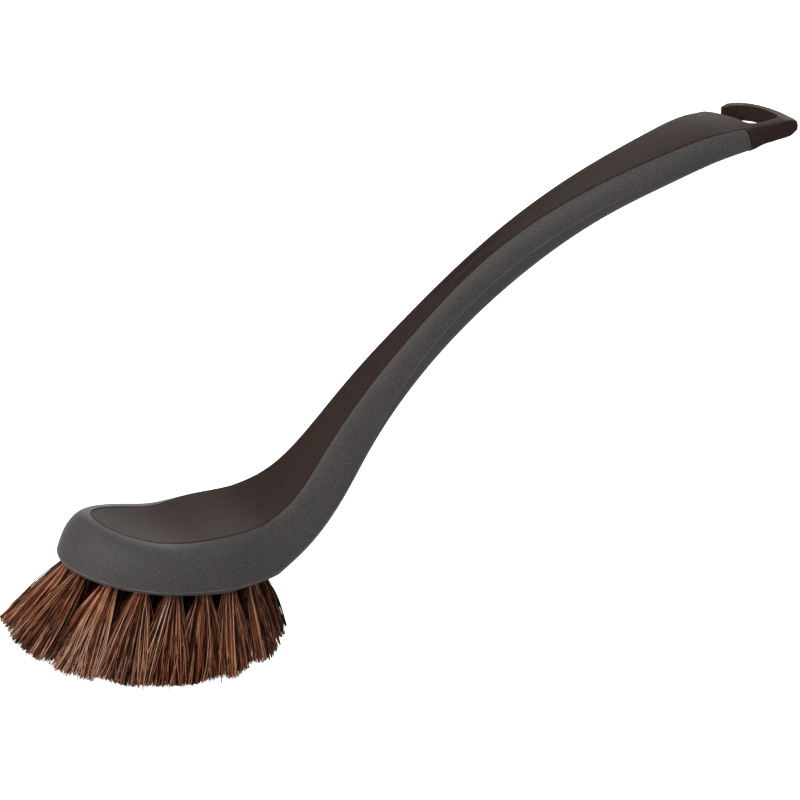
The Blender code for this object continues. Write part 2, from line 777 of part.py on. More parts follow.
def make_bristles(core, parent, bristle, metal):
    block = HEAD_DEPTH - PANEL_RECESS - PANEL_DISH + LIP_HEIGHT - SOLE_RECESS
    hole_floor = HOLE_ROOF - block
    tuft_floor = hole_floor + SEAT_GAP
    tuft_radius = HOLE_RADIUS - SEAT_GAP
    anchor_length = 2 * (HOLE_RADIUS + ANCHOR_BITE)
    anchor_middle = (0.0, 0.0, hole_floor + ANCHOR_BASE + ANCHOR_HEIGHT / 2)
    places = tuft_places()
    matrices = [tuft_matrix(place) for place in places]
    plain = bpy.data.materials.new("plain")

    hole = cone_rings(HOLE_SIDES, ((hole_floor, HOLE_RADIUS), (CUT_OVERRUN, HOLE_RADIUS)))
    subtract(core, join_copies("hole_cutter", hole, matrices, plain), "holes")
    slit_low = anchor_middle[2] - ANCHOR_HEIGHT / 2 - SEAT_GAP
    slit_size = (anchor_length + 2 * SEAT_GAP, ANCHOR_THICKNESS + 2 * SEAT_GAP, CUT_OVERRUN - slit_low)
    slit = box_skin(slit_size, (0.0, 0.0, (CUT_OVERRUN + slit_low) / 2))
    subtract(core, join_copies("slit_cutter", slit, matrices, plain), "slits")

    flare = (tip_radius(places) - tuft_radius) / TUFT_FREE_LENGTH
    window_size = (2 * HOLE_RADIUS, ANCHOR_THICKNESS + 2 * SEAT_GAP, ANCHOR_HEIGHT + 2 * SEAT_GAP)
    window = box_skin(window_size, anchor_middle)
    anchor_skin = box_skin((anchor_length, ANCHOR_THICKNESS, ANCHOR_HEIGHT), anchor_middle)
    for number, (place, matrix) in enumerate(zip(places, matrices), 1):
        free = free_length(place)
        levels = [(tuft_floor, tuft_radius), (0.0, tuft_radius)]
        for share in (0.5, 1.0):
            levels.append((free * share, tuft_radius + flare * free * share))
        tuft = cone_rings(TUFT_SIDES, levels).build(f"tuft_{number:02d}", bristle)
        cutter = window.build(f"window_cutter_{number:02d}", plain)
        subtract(tuft, cutter, "anchor_window")
        anchor = anchor_skin.build(f"anchor_{number:02d}", metal)
        for piece in (tuft, cutter, anchor):
            piece.matrix_world = matrix
            piece.parent = parent


def stand_on_floor(parent):
    """Sets the whole brush with its middle over the origin and its lowest bristle on the floor."""
    bpy.context.view_layer.update()
    finished = bpy.context.evaluated_depsgraph_get()
    points = []
    for obj in bpy.context.scene.objects:
        if obj.type == "MESH" and not obj.hide_render:
            mesh = obj.evaluated_get(finished).data
            points += [obj.matrix_world @ vertex.co for vertex in mesh.vertices]
    low = [min(point[i] for point in points) for i in range(3)]
    high = [max(point[i] for point in points) for i in range(3)]
    parent.location = [-(low[0] + high[0]) / 2, -(low[1] + high[1]) / 2, -low[2]]


def main():
    clear_scene()
    core_material = principled("hard_plastic", CORE_COLOUR, CORE_ROUGHNESS)
    grip_material = principled("soft_grip", GRIP_COLOUR, GRIP_ROUGHNESS)
    bristle_material = principled("bristle", BRISTLE_COLOUR, BRISTLE_ROUGHNESS)
    anchor_material = principled("anchor_metal", ANCHOR_COLOUR, ANCHOR_ROUGHNESS, 1.0)
    brush = bpy.data.objects.new("brush", None)
    bpy.context.scene.collection.objects.link(brush)
    core = make_core(core_material)
    grip = make_grip(grip_material)
    subtract(core, make_eye_cutter(), "eye")
    make_bristles(core, brush, bristle_material, anchor_material)
    for obj in bpy.context.scene.objects:
        if obj.type == "MESH" and obj.parent is None:
            obj.parent = brush
    grip.parent = brush
    stand_on_floor(brush)


main()
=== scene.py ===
"""Looks of a dish brush: a hard brown-black core, a soft dark grey grip and tufts of natural fibre."""

import json
import math

import bpy
import numpy as np
from mathutils import Matrix, Vector

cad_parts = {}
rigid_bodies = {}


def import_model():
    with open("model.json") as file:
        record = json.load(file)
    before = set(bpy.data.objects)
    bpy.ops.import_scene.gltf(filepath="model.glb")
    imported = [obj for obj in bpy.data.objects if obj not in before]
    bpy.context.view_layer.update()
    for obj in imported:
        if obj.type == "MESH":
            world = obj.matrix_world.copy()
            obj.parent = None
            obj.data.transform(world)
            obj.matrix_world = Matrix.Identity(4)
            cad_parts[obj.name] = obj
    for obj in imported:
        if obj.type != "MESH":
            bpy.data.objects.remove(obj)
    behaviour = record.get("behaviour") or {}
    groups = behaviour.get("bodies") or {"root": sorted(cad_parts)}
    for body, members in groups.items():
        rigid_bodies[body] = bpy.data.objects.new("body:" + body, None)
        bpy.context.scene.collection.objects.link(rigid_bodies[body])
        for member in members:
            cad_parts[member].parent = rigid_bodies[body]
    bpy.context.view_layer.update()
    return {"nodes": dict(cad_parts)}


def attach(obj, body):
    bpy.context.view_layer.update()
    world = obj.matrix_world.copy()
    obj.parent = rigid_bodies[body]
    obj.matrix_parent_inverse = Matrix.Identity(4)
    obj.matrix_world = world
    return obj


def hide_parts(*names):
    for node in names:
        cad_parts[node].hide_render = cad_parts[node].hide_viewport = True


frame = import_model()

SEED = 4107
TUFT_COUNT = 29
OUTER_TUFTS = 16

# Merging a copied mesh, and joining its triangles into quads
MERGE_REACH = 0.000002
QUAD_FACE_ANGLE = math.radians(40)
QUAD_SHAPE_ANGLE = math.radians(60)

# Edges: the small round on every sharp edge, and the angles from which an edge is sharp
CORE_EDGE = 0.00025
GRIP_EDGE = 0.00030
EDGE_SEGMENTS = 2
SHARP_ANGLE = math.radians(38)
PANEL_SHARP_ANGLE = math.radians(45)
CORE_SMOOTH_ANGLE = math.radians(50)
GRIP_SMOOTH_LEVELS = 2

# The panel's edge falls away into a groove beside the grip, which runs out towards the hook. Each row has
# a ring's distance from the ring before it, and how far the panel rises there. Inner corners nearer to the
# edge than the rings' widths times this room are dissolved first.
GROOVE_RINGS = ((0.00050, 0.00022), (0.00070, 0.00018))
GROOVE_RUN_OUT = 0.022
GROOVE_ROOM = 1.15

# The panel is widened by this much towards the grip; ahead of this place also towards the nose
SEAM_CLOSING = 0.00022
NOSE_START = -0.0754

# Where the handle ends, the hook's direction from there, and how the grip's end leans across the brush
HANDLE_END = Vector((0.0900, 0.0, 0.1912))
HOOK_SLOPE = math.radians(15)
HOOK_ALONG = Vector((math.cos(HOOK_SLOPE), 0.0, math.sin(HOOK_SLOPE)))
HOOK_UP = Vector((-HOOK_ALONG.z, 0.0, HOOK_ALONG.x))
END_SLANT = 0.20

# How far the panel runs past the handle, how far its faces' normals point along the hook's up direction,
# and how far up they point where the panel is level
PANEL_PAST_HANDLE = 0.0053
PANEL_UPWARD = 0.4
PANEL_LEVEL = 0.9

# The hook's outer end: over what length its top falls, by how much, and how deep that reaches
HOOK_END_LENGTH = 0.0060
HOOK_END_FALL = 0.0019
HOOK_END_DEPTH = 0.0045

# The hook's free end lies this far past the handle and on the far side, and its top falls in the same way
TIP_PAST_HANDLE = PANEL_PAST_HANDLE * 2
TIP_SIDE = 0.0105
TIP_LENGTH = 0.0020
TIP_FALL = 0.0010
TIP_DEPTH = 0.0028

# The bead along the line where the halves of the grip's mould met, which fades on the handle
BEAD_WIDTH = 0.00016
BEAD_HEIGHT = 0.00010
BEAD_FADE_START = 0.035
BEAD_FADE_END = 0.070
BEAD_STRENGTH = (0.45, 1.0)

# The head's widest station lies under this point of the panel
HEAD_MIDDLE = Vector((-0.0752, 0.0, 0.0328))

# Reading a tuft's solid: how squarely its flat end looks along it, and how near to an end its corners lie.
# The nudge gives a tuft in the field's middle a direction away from there.
END_SQUARENESS = 0.99
END_REACH = 0.00005
MIDDLE_NUDGE = (0.0001, 0, 0)

# Bristles. Each tuft's fibres gather in clumps, and a few pale strands stray across it. The sides of each
# fibre are turned by a direction that no bristle runs along.
FIBRES_PER_TUFT = 540
STRAYS_PER_TUFT = 12
PALE_PER_TUFT = 16
CLUMPS_PER_TUFT = 12
CLUMP_PULL = 0.50
CLUMP_TONE = 0.095
FIBRE_SIDES = 4
FIBRE_TURN = (0.31, 0.87, 0.11)
FIBRE_STEPS = 7
FIBRE_RADIUS = 0.00014
FIBRE_TIP_SHARE = 0.92
STRAIGHT_SHARE = 0.20

# How the tips lie, as shares of the tuft's radius there: their spread away from the field's middle and
# across, how loosely each keeps its place and how far it gets at most, how far out clumps gather, and how
# far strays sway, which is less beyond a distance from the field's middle
TIP_SPREAD = (1.12, 1.62)
LOOSENESS = 0.36
LOOSE_REACH = 1.30
CLUMP_REACH = (0.05, 1.0)
STRAY_SWAY = (0.6, 1.5)
CALM_SWAY = 0.30
CALM_FROM = 0.015

# Outer tufts spread outwards least at the sides and more at the nose and the heel. The last share is for
# their spread inwards.
SIDE_ROOM = 0.42
NOSE_ROOM = 0.35
HEEL_ROOM = 0.55
INWARD_ROOM = 1.15

# Unevenness of the trim by clump and by bristle, and the share of short bristles with their lengths
CLUMP_TRIM = 0.008
FIBRE_TRIM = 0.004
FIBRE_TRIM_LIMITS = (0.980, 1.008)
SHORT_SHARE = 0.07
SHORT_LENGTHS = (0.75, 0.97)

# Each bristle's wave, which grows from the straight part, its bow, and how its thickness varies
WAVE_SIZES = (0.00003, 0.00022)
WAVE_TURNS = (0.6, 2.2)
WAVE_GROWTH = 3
BOW = 0.0010
BOW_LIMIT = 0.0017
THICKNESS_SPREAD = 0.16
THICKNESS_LIMITS = (0.6, 1.4)

# Tones from 0, black, to 1, cream. Tufts are painted lighter towards the nose and darker towards the heel,
# a painted light for how the light falls on them.
# Most bristles stay below a top tone, and the pale and the stray ones have tones of their own.
TONE_SHAPE = (1.10, 1.55)
MIDDLE_LIGHT = 0.045
NOSE_LIGHT = 4.9
TUFT_LIGHT_SPREAD = 0.040
COMMON_TONE_TOP = 0.83
PALE_TONES = (0.74, 0.97)
STRAY_TONES = (0.50, 0.90)

# The trimmed surface rises above the CAD tufts' tips from the nose to the heel. Where each bristle meets it
# is found in rounds.
TRIM_START = -0.110
TRIM_RISE = 0.030
TRIM_ROUNDS = 4

# Painted shade: fibres are painted darker towards the root, where shade falls between the bristles, the
# inner tufts over more of their length: the tone left there, and the share of the length where it is full
OUTER_ROOT_SHADE = (0.40, 0.34)
INNER_ROOT_SHADE = (0.10, 0.62)

# Camera
AIM_POINT = Vector((-0.06926, 0.0, 0.03278))
CAMERA_OFFSET = Vector((-0.3723, -0.8114, 0.3772))
CAMERA_RIGHT = Vector((0.8912, -0.4056, 0.2032))
CAMERA_BACK = Vector((-0.4522, -0.8299, 0.3268))
CAMERA_LENS = 136.8
SENSOR_WIDTH = 36.0

# Studio: the floor lies just under the brush, inside a round backdrop. The sky is a little brighter below
# the horizon. Each light has a name, place, target, size, power and colour.
FLOOR_SIZE = 8.0
FLOOR_DROP = 0.0005
BACKDROP_RADIUS = 3.9
LOW_SKY = (0.56, 0.54, 0.53)
HIGH_SKY = (0.42, 0.42, 0.43)
SKY_STEPS = ((0.00, LOW_SKY), (0.48, LOW_SKY), (0.52, HIGH_SKY), (1.00, HIGH_SKY))
BRUSH_MIDDLE = (0.0, 0.0, 0.08)
NOSE = (-0.08, 0.0, 0.05)
LIGHTS = (
    ("key_softbox", (-0.84, -0.63, 0.92), BRUSH_MIDDLE, (0.7, 0.7), 8.0, (1.0, 0.98, 0.96)),
    ("nose_softbox", (-1.30, -0.35, 0.15), NOSE, (0.5, 0.5), 4.5, (1.0, 0.98, 0.95)),
    ("back_softbox", (0.72, 1.33, 0.53), BRUSH_MIDDLE, (1.2, 0.5), 5.6, (1.0, 1.0, 1.0)),
    ("top_softbox", (0.30, 0.75, 0.95), BRUSH_MIDDLE, (0.9, 0.7), 2.6, (0.98, 0.98, 1.0)),
)


def deselect_all():
    if bpy.context.object and bpy.context.object.mode != "OBJECT":
        bpy.ops.object.mode_set(mode="OBJECT")
    bpy.ops.object.select_all(action="DESELECT")


def take(piece):
    """Makes this the only selected object and the active one."""
    deselect_all()
    piece.select_set(True)
    bpy.context.view_layer.objects.active = piece


def apply_modifier(piece, name):
    take(piece)
    bpy.ops.object.modifier_apply(modifier=name)


def copy_of_node(node_name, piece_name):
    """A copy of a CAD node's mesh as a piece of its own, merged and with its quads back."""
    node = frame["nodes"][node_name]
    take(node)
    bpy.ops.object.duplicate(linked=False)
    piece = bpy.context.object
    for key in list(piece.keys()):
        del piece[key]
    piece.parent = None
    piece.name = piece_name
    piece.data.name = piece_name
    bpy.ops.mesh.customdata_custom_splitnormals_clear()
    bpy.ops.object.mode_set(mode="EDIT")
    bpy.ops.mesh.select_all(action="SELECT")
    bpy.ops.mesh.remove_doubles(threshold=MERGE_REACH)
    bpy.ops.mesh.tris_convert_to_quads(face_threshold=QUAD_FACE_ANGLE, shape_threshold=QUAD_SHAPE_ANGLE)
    bpy.ops.object.mode_set(mode="OBJECT")
    return piece


def finish_piece(piece, material, node_names):
    """Gives a piece its material, attaches it to the root body and hides the nodes that it stands for."""
    piece.data.materials.clear()
    piece.data.materials.append(material)
    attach(piece, "root")
    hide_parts(*node_names)


# Materials

CORE_COLOUR = (0.0330, 0.0212, 0.0172)
CORE_SHINE = (1.0, 0.80, 0.70, 1.0)
CORE_FINISH = {"grain_scale": 2600.0, "grain_strength": 1.15, "roughness": 0.60, "gloss": 0.11}
GRIP_COLOUR = (0.0660, 0.0600, 0.0612)
GRIP_FINISH = {"grain_scale": 2800.0, "grain_strength": 0.85, "roughness": 0.60, "gloss": 0.32}
# Painted highlight: the parting line's bead is painted this lighter colour, as light catching on its ridge
BEAD_HIGHLIGHT_COLOUR = (0.2400, 0.2300, 0.2300)

# The plastics' speckle: each step's place in the noise, and how much lighter or darker it is there at full
# strength. Then the spread of the roughness, and the bumps' strength and depth.
SPECKLE_STEPS = ((0.34, -0.42), (0.50, 0.0), (0.60, 0.45), (0.72, 1.50))
SHINE_STEPS = ((0.35, -0.10), (0.65, 0.08))
CLOUD_SCALE = 55.0
CLOUD_STEPS = ((0.35, (0.90,) * 3), (0.65, (1.0,) * 3))
SPECKLE_BUMP = (0.45, 0.00008)
CLOUD_BUMP = (0.10, 0.0002)

# Natural fibre: the bristles' tones from black to cream, then stains and a slow drift of hue
FIBRE_TONES = (
    (0.00, (0.006, 0.0025, 0.0018)),
    (0.22, (0.026, 0.0090, 0.0050)),
    (0.42, (0.115, 0.0330, 0.0160)),
    (0.60, (0.330, 0.1060, 0.0520)),
    (0.76, (0.600, 0.2700, 0.1650)),
    (0.89, (0.820, 0.5300, 0.3700)),
    (1.00, (0.950, 0.8400, 0.7600)),
)
STAIN_SCALE = 260.0
STAIN_STEPS = ((0.30, (0.62, 0.60, 0.58)), (0.68, (1.0, 1.0, 1.0)))
HUE_SCALE = 42.0
HUE_STEPS = ((0.40, (1.0, 0.86, 0.74)), (0.60, (0.96, 1.0, 1.0)))

STEEL_SCALE = 900.0
STEEL_COLOURS = ((0.3, (0.40, 0.39, 0.37)), (0.7, (0.60, 0.59, 0.57)))
STEEL_SHINE = ((0.3, (0.28,) * 3), (0.7, (0.45,) * 3))

# The Mix node's colour sockets by number, since sockets for its other kinds of value have the same names
MIX_FIRST = 6
MIX_SECOND = 7
MIX_RESULT = 2


def new_material(name):
    material = bpy.data.materials.new(name)
    material.use_nodes = True
    nodes = material.node_tree.nodes
    links = material.node_tree.links
    return material, nodes, links, nodes["Principled BSDF"]


def noise(nodes, links, source, scale, detail=2.0, roughness=0.5):
    node = nodes.new("ShaderNodeTexNoise")
    node.inputs["Scale"].default_value = scale
    node.inputs["Detail"].default_value = detail
    node.inputs["Roughness"].default_value = roughness
    links.new(source, node.inputs["Vector"])
    return node.outputs["Fac"]


def ramp(nodes, links, source, stops):
    node = nodes.new("ShaderNodeValToRGB")
    ends = node.color_ramp.elements
    while len(ends) < len(stops):
        ends.new(0.5)
    for end, (place, colour) in zip(ends, stops):
        end.position = place
        end.color = (*colour, 1.0)
    links.new(source, node.inputs["Fac"])
    return node.outputs["Color"]


def bump(nodes, links, height, strength, distance, under=None):
    node = nodes.new("ShaderNodeBump")
    node.inputs["Strength"].default_value = strength
    node.inputs["Distance"].default_value = distance
    links.new(height, node.inputs["Height"])
    if under is not None:
        links.new(under, node.inputs["Normal"])
    return node.outputs["Normal"]


def multiply(nodes, links, first, second):
    node = nodes.new("ShaderNodeMix")
    node.data_type = "RGBA"
    node.blend_type = "MULTIPLY"
    node.inputs["Factor"].default_value = 1.0
    links.new(first, node.inputs[MIX_FIRST])
    links.new(second, node.inputs[MIX_SECOND])
    return node.outputs[MIX_RESULT]


def object_place(nodes):
    return nodes.new("ShaderNodeTexCoord").outputs["Object"]


def speckled_plastic(name, colour, grain_scale, grain_strength, roughness, gloss):
    """A moulded plastic with a fine light speckle, slow clouds of tone and a grained surface."""
    material, nodes, links, shader = new_material(name)
    place = object_place(nodes)
    cloud = noise(nodes, links, place, CLOUD_SCALE, detail=3.0)
    speckle = noise(nodes, links, place, grain_scale, detail=3.0, roughness=0.70)
    grains = []
    for step, change in SPECKLE_STEPS:
        grains.append((step, [value * (1 + change * grain_strength) for value in colour]))
    grain = ramp(nodes, links, speckle, grains)
    base = multiply(nodes, links, grain, ramp(nodes, links, cloud, CLOUD_STEPS))
    shine = [(step, (roughness + change,) * 3) for step, change in SHINE_STEPS]
    links.new(ramp(nodes, links, speckle, shine), shader.inputs["Roughness"])
    fine = bump(nodes, links, speckle, *SPECKLE_BUMP)
    links.new(bump(nodes, links, cloud, *CLOUD_BUMP, fine), shader.inputs["Normal"])
    shader.inputs["Specular IOR Level"].default_value = gloss
    return material, nodes, links, shader, base


def make_hard_plastic():
    material, _, links, shader, base = speckled_plastic("hard_brown_plastic", CORE_COLOUR, **CORE_FINISH)
    links.new(base, shader.inputs["Base Color"])
    shader.inputs["Specular Tint"].default_value = CORE_SHINE
    return material


def make_soft_rubber():
    material, nodes, links, shader, base = speckled_plastic("soft_grey_rubber", GRIP_COLOUR, **GRIP_FINISH)
    # Painted highlight: the bead's mark mixes a lighter colour into the rubber along the parting line
    bead = nodes.new("ShaderNodeAttribute")
    bead.attribute_name = "bead"
    bead_highlight = nodes.new("ShaderNodeMix")
    bead_highlight.data_type = "RGBA"
    links.new(bead.outputs["Fac"], bead_highlight.inputs["Factor"])
    links.new(base, bead_highlight.inputs[MIX_FIRST])
    bead_highlight.inputs[MIX_SECOND].default_value = (*BEAD_HIGHLIGHT_COLOUR, 1.0)
    links.new(bead_highlight.outputs[MIX_RESULT], shader.inputs["Base Color"])
    shader.inputs["Sheen Weight"].default_value = 0.20
    shader.inputs["Sheen Roughness"].default_value = 0.35
    return material


def make_natural_fibre():
    material, nodes, links, shader = new_material("natural_fibre")
    chart = nodes.new("ShaderNodeUVMap")
    chart.uv_map = "fibre"
    split = nodes.new("ShaderNodeSeparateXYZ")
    links.new(chart.outputs["UV"], split.inputs["Vector"])
    tone = ramp(nodes, links, split.outputs["X"], FIBRE_TONES)
    place = object_place(nodes)
    stain = noise(nodes, links, place, STAIN_SCALE, detail=3.0, roughness=0.6)
    shade = ramp(nodes, links, stain, STAIN_STEPS)
    drift = noise(nodes, links, place, HUE_SCALE, detail=1.0)
    hue = ramp(nodes, links, drift, HUE_STEPS)
    body = multiply(nodes, links, tone, shade)
    links.new(multiply(nodes, links, body, hue), shader.inputs["Base Color"])
    shader.inputs["Roughness"].default_value = 0.40
    shader.inputs["Specular IOR Level"].default_value = 0.12
    return material


def make_anchor_steel():
    material, nodes, links, shader = new_material("anchor_steel")
    place = object_place(nodes)
    grain = noise(nodes, links, place, STEEL_SCALE, detail=3.0)
    links.new(ramp(nodes, links, grain, STEEL_COLOURS), shader.inputs["Base Color"])
    links.new(ramp(nodes, links, grain, STEEL_SHINE), shader.inputs["Roughness"])
    shader.inputs["Metallic"].default_value = 1.0
    return material


# Core and grip


def ease(share):
    share = np.clip(share, 0.0, 1.0)
    return share * share * (3 - 2 * share)


def corner_places(piece):
    return np.array([corner.co for corner in piece.data.vertices])


def select_only(piece, kind, chosen):
    """Goes into edit mode with only these elements selected. The kind is VERT, EDGE or FACE."""
    take(piece)
    bpy.ops.object.mode_set(mode="EDIT")
    bpy.ops.mesh.select_mode(type=kind)
    bpy.ops.mesh.select_all(action="DESELECT")
    bpy.ops.object.mode_set(mode="OBJECT")
    parts = {"VERT": piece.data.vertices, "EDGE": piece.data.edges, "FACE": piece.data.polygons}[kind]
    for index in chosen:
        parts[int(index)].select = True
    bpy.ops.object.mode_set(mode="EDIT")


def selected_corners(piece):
    """Leaves edit mode and gives the selected corners' numbers."""
    bpy.ops.object.mode_set(mode="OBJECT")
    return [corner.index for corner in piece.data.vertices if corner.select]


def soften_edges(piece, width):
    soften = piece.modifiers.new("edges", "BEVEL")
    soften.limit_method = "ANGLE"
    soften.angle_limit = SHARP_ANGLE
    soften.width = width
    soften.segments = EDGE_SEGMENTS
    apply_modifier(piece, "edges")


def past_handle(place):
    """How far a place lies past the handle's end along the hook, where sections lean across the brush."""
    return (place - HANDLE_END).dot(HOOK_ALONG) + END_SLANT * place.y


def select_panel(piece):
    """Selects the panel's faces, which end at sharp edges at the sides and where the bare hook starts."""
    take(piece)
    bpy.ops.object.mode_set(mode="EDIT")
    bpy.ops.mesh.select_mode(type="EDGE")
    bpy.ops.mesh.select_all(action="DESELECT")
    bpy.ops.mesh.edges_select_sharp(sharpness=PANEL_SHARP_ANGLE)
    bpy.ops.mesh.mark_sharp()
    bpy.ops.object.mode_set(mode="OBJECT")
    level = [face for face in piece.data.polygons if face.normal.z > PANEL_LEVEL]
    tops = [face for face in level if face.center.z > HEAD_MIDDLE.z]
    middle = min(tops, key=lambda face: (face.center - HEAD_MIDDLE).xy.length)
    select_only(piece, "FACE", [middle.index])
    bpy.ops.mesh.select_linked(delimit={"SHARP"})
    bpy.ops.object.mode_set(mode="OBJECT")
    panel = []
    for face in piece.data.polygons:
        upward = face.normal.dot(HOOK_UP) > PANEL_UPWARD
        if face.select and upward and past_handle(face.center) < PANEL_PAST_HANDLE:
            panel.append(face.index)
    select_only(piece, "FACE", panel)


def clear_panel_edge(piece):
    """Dissolves the panel's inner corners that lie where the groove's rings go."""
    select_panel(piece)
    inside = set(selected_corners(piece))
    bpy.ops.object.mode_set(mode="EDIT")
    bpy.ops.mesh.region_to_loop()
    edge = sorted(set(selected_corners(piece)))
    places = corner_places(piece)
    room = sum(width for width, rise in GROOVE_RINGS) * GROOVE_ROOM
    close = []
    for i in sorted(inside - set(edge)):
        if np.linalg.norm(places[edge] - places[i], axis=1).min() < room:
            close.append(i)
    select_only(piece, "VERT", close)
    bpy.ops.mesh.dissolve_verts()
    bpy.ops.object.mode_set(mode="OBJECT")


def close_seam(piece):
    """Widens the panel at its edge, so that only a hair's width is left between it and the grip."""
    select_panel(piece)
    bpy.ops.mesh.region_to_loop()
    for i in selected_corners(piece):
        corner = piece.data.vertices[i]
        if past_handle(corner.co) < 0:
            forward = min(corner.normal.x, 0.0) if corner.co.x < NOSE_START else 0.0
            corner.co += Vector((forward, corner.normal.y, 0.0)).normalized() * SEAM_CLOSING


def raise_panel(piece):
    """Insets the panel twice and raises it, so that its edge is round and a groove is left beside it."""
    clear_panel_edge(piece)
    close_seam(piece)
    select_panel(piece)
    for width, rise in GROOVE_RINGS:
        bpy.ops.mesh.inset(thickness=width, depth=0.0, use_boundary=True, use_even_offset=True)
        chosen = selected_corners(piece)
        end = max(piece.data.vertices[i].co.x for i in chosen)
        for i in chosen:
            corner = piece.data.vertices[i]
            corner.co += corner.normal * rise * float(ease((end - corner.co.x) / GROOVE_RUN_OUT))
        bpy.ops.object.mode_set(mode="EDIT")
    bpy.ops.object.mode_set(mode="OBJECT")


def lower_top(piece, chosen, reach, length, fall, depth):
    """Lets the top fall away over this length up to the end of the reach, down to this depth below it."""
    height = corner_places(piece) @ np.array(HOOK_UP)
    end = reach[chosen].max()
    close = np.flatnonzero(chosen & (reach > end - length))
    top = height[close].max()
    for i in close:
        along = (reach[i] - end) / length + 1
        share = np.clip(1 - (top - height[i]) / depth, 0.0, 1.0)
        piece.data.vertices[int(i)].co -= HOOK_UP * float(fall * along**2 * share)


def lower_hook_ends(piece):
    """Rounds the tops of the hook's outer end and of its free end, which faces the handle."""
    places = corner_places(piece)
    reach = places @ np.array(HOOK_ALONG)
    past = np.array([past_handle(corner.co) for corner in piece.data.vertices])
    lower_top(piece, past > 0, reach, HOOK_END_LENGTH, HOOK_END_FALL, HOOK_END_DEPTH)
    free = (past > TIP_PAST_HANDLE) & (places[:, 1] > TIP_SIDE)
    lower_top(piece, free, -reach, TIP_LENGTH, TIP_FALL, TIP_DEPTH)


def make_core(material):
    piece = copy_of_node("core", "core_moulding")
    lower_hook_ends(piece)
    raise_panel(piece)
    soften_edges(piece, CORE_EDGE)
    bpy.ops.object.shade_smooth_by_angle(angle=CORE_SMOOTH_ANGLE)
    finish_piece(piece, material, ["core"])


def select_parting_line(piece):
    """Selects the grip's parting line: the loop of edges through the head's widest corner."""
    places = corner_places(piece)
    widest = int(places[:, 1].argmin())
    edges = [edge for edge in piece.data.edges if widest in edge.vertices]
    along = [abs(places[edge.vertices[0], 0] - places[edge.vertices[1], 0]) for edge in edges]
    select_only(piece, "EDGE", [edges[int(np.argmax(along))].index])
    bpy.ops.mesh.loop_multi_select(ring=False)
    keep = []
    for i in selected_corners(piece):
        corner = piece.data.vertices[i]
        aside = Vector((0.0, corner.co.y, 0.0))
        if corner.co.x < HEAD_MIDDLE.x:
            aside = corner.co - HEAD_MIDDLE
        if corner.normal.dot(aside) > 0 and corner.co.x < BEAD_FADE_END:
            keep.append(i)
    select_only(piece, "VERT", keep)
    bpy.ops.mesh.select_mode(type="EDGE")


def make_bead(piece):
    """Raises a fine uneven bead on the parting line and marks it for a painted highlight, a lighter colour
    along its ridge.
    """
    select_parting_line(piece)
    bpy.ops.mesh.bevel(offset=BEAD_WIDTH, segments=2, affect="EDGES")
    strip = set(selected_corners(piece))
    bpy.ops.object.mode_set(mode="EDIT")
    bpy.ops.mesh.region_to_loop()
    middle = sorted(strip - set(selected_corners(piece)))
    rng = np.random.default_rng(SEED)
    mark = piece.data.attributes.new("bead", "FLOAT", "POINT")
    for i in middle:
        corner = piece.data.vertices[i]
        fade = 1 - float(ease((corner.co.x - BEAD_FADE_START) / (BEAD_FADE_END - BEAD_FADE_START)))
        strength = fade * rng.uniform(*BEAD_STRENGTH)
        mark.data[i].value = strength
        corner.co += corner.normal * BEAD_HEIGHT * strength


def make_grip(material):
    piece = copy_of_node("grip", "grip_moulding")
    make_bead(piece)
    soften_edges(piece, GRIP_EDGE)
    smooth = piece.modifiers.new("surface", "SUBSURF")
    smooth.levels = GRIP_SMOOTH_LEVELS
    smooth.render_levels = GRIP_SMOOTH_LEVELS
    apply_modifier(piece, "surface")
    bpy.ops.object.shade_smooth()
    finish_piece(piece, material, ["grip"])


# Tufts


def tuft_frame(number):
    """Middles of the root and of the tips of a tuft, and both radii, from its own solid."""
    node = frame["nodes"][f"tuft_{number:02d}"]
    points = np.array([corner.co for corner in node.data.vertices])
    spread = points - points.mean(0)
    axis = np.linalg.svd(spread, full_matrices=False)[2][0]
    axis *= -np.sign(axis[2])
    total = {}
    for face in node.data.polygons:
        normal = tuple(round(value, 4) for value in face.normal)
        if np.dot(normal, axis) > END_SQUARENESS:
            total[normal] = total.get(normal, 0.0) + face.area
    axis = np.array(max(total, key=total.get))
    axis /= np.linalg.norm(axis)
    along = points @ axis
    ends = []
    for end in (along < along.min() + END_REACH, along > along.max() - END_REACH):
        corners = np.unique(np.round(points[end], 6), axis=0)
        middle = corners.mean(0)
        ends.append((middle, np.linalg.norm(corners - middle, axis=1).max()))
    return ends[0][0], ends[1][0], ends[0][1], ends[1][1]


def trim_terms(x, y):
    return np.stack((np.ones_like(x), x, y, x * x, x * y, y * y), axis=-1)


def trim_surface(frames):
    """The smooth surface that the bristles are trimmed to, through the middles of the tufts' tips."""
    tips = np.array([row[1] for row in frames])
    return np.linalg.lstsq(trim_terms(tips[:, 0], tips[:, 1]), tips[:, 2], rcond=None)[0]


def trimmed(root, tips, surface):
    """How much of each bristle is left after trimming, as a share of its length."""
    share = np.ones(len(tips))
    for _ in range(TRIM_ROUNDS):
        ends = root + (tips - root) * share[:, None]
        height = trim_terms(ends[:, 0], ends[:, 1]) @ surface
        height = height + TRIM_RISE * np.clip(ends[:, 0] - TRIM_START, 0.0, None)
        share *= (root[2] - height) / (root[2] - ends[:, 2])
    return share


def tuft_axes(tuft, field_middle):
    """The tuft's length, and its directions along the bristles, away from the field's middle and across."""
    root, tip = tuft[:2]
    length = np.linalg.norm(tip - root)
    axis = (tip - root) / length
    away = (root - field_middle) * (1, 1, 0) + MIDDLE_NUDGE
    away -= axis * (away @ axis)
    away /= np.linalg.norm(away)
    return length, axis, away, np.cross(axis, away)


